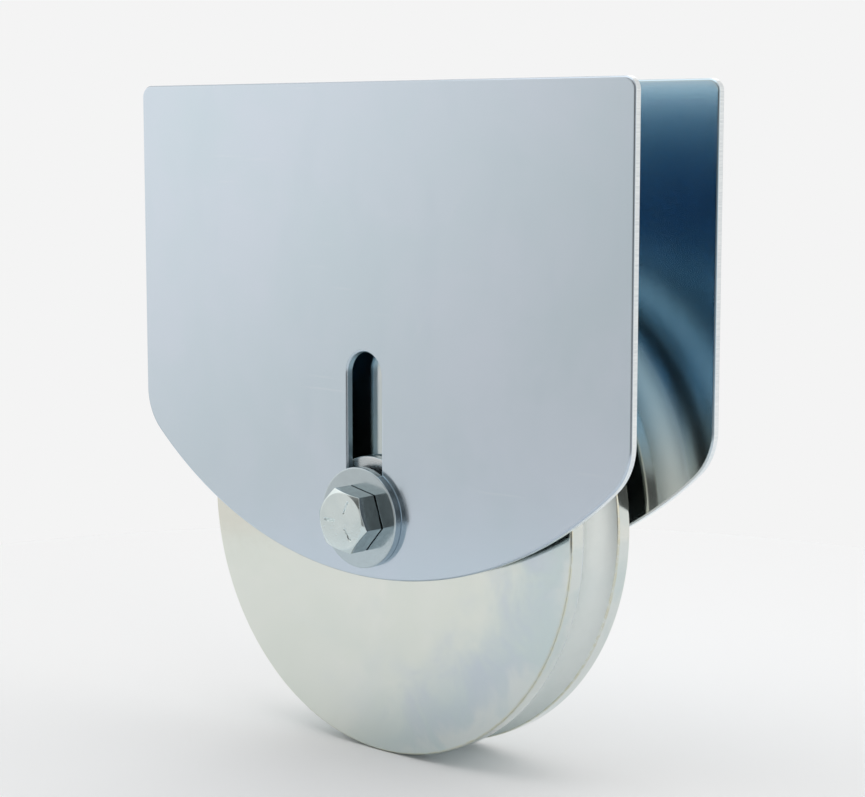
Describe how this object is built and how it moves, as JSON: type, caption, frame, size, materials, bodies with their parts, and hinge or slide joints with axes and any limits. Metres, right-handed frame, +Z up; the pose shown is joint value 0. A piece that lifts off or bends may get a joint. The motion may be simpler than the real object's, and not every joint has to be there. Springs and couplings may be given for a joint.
{
  "type": "sliding gate wheel",
  "caption": "Round-grooved steel gate wheel on sealed ball bearings between slotted zinc-plated cheek plates, clamped at a settable height by hexagon bolts and washers.",
  "frame": {"origin": "centre of the wheel, on the axle's axis half way between the cheek plates, with the axle at the foot of its slots", "axes": "+X along the rail, +Y along the axle towards the rear plate, +Z up towards the gate"},
  "size_m": [0.215, 0.0666, 0.22],
  "materials": {
    "zinc_plate": "satin bright zinc plate with a faint blue tint and fine handling scratches",
    "zinc_wheel": "fine turned steel, zinc plated, creamy with bluish clouds and ochre stains along the rim edges",
    "zinc_hardware": "bright zinc plate, mirror-like",
    "turned_steel": "turned steel with fine tool marks",
    "bearing_steel": "ground and polished steel",
    "spring_steel": "black oxide spring steel",
    "seal_rubber": "matt moulded rubber",
    "cage_polymer": "natural moulded polyamide"
  },
  "bodies": {
    "cheek_plates": {"front_plate": "zinc_plate", "rear_plate": "zinc_plate"},
    "axle_group": {"axle": "turned_steel", "front_collar": "turned_steel", "rear_collar": "turned_steel", "front_washer": "zinc_hardware", "rear_washer": "zinc_hardware", "front_bolt": "zinc_hardware", "rear_bolt": "zinc_hardware", "front_bearing_inner_ring": "bearing_steel", "rear_bearing_inner_ring": "bearing_steel"},
    "wheel_group": {"wheel": "zinc_wheel", "front_bearing_outer_ring": "bearing_steel", "rear_bearing_outer_ring": "bearing_steel", "front_bearing_inboard_seal": "seal_rubber", "front_bearing_outboard_seal": "seal_rubber", "rear_bearing_inboard_seal": "seal_rubber", "rear_bearing_outboard_seal": "seal_rubber", "front_circlip": "spring_steel", "rear_circlip": "spring_steel"},
    "front_ball_train": {"front_bearing_cage": "cage_polymer", "front_bearing_balls": "bearing_steel"},
    "rear_ball_train": {"rear_bearing_cage": "cage_polymer", "rear_bearing_balls": "bearing_steel"}
  },
  "joints": [
    {"name": "height_adjust", "type": "slide", "parent": "cheek_plates", "child": "axle_group", "axis": [0, 0, 1], "range_m": [0, 0.046]},
    {"name": "wheel_spin", "type": "hinge", "parent": "axle_group", "child": "wheel_group", "pos_m": [0, 0, 0], "axis": [0, 1, 0], "continuous": true},
    {"name": "front_ball_train_spin", "type": "hinge", "parent": "axle_group", "child": "front_ball_train", "pos_m": [0, 0, 0], "axis": [0, 1, 0], "continuous": true},
    {"name": "rear_ball_train_spin", "type": "hinge", "parent": "axle_group", "child": "rear_ball_train", "pos_m": [0, 0, 0], "axis": [0, 1, 0], "continuous": true}
  ],
  "couplings": [
    {"joint": "front_ball_train_spin", "follows": "wheel_spin", "ratio": 0.59158},
    {"joint": "rear_ball_train_spin", "follows": "wheel_spin", "ratio": 0.59158}
  ]
}
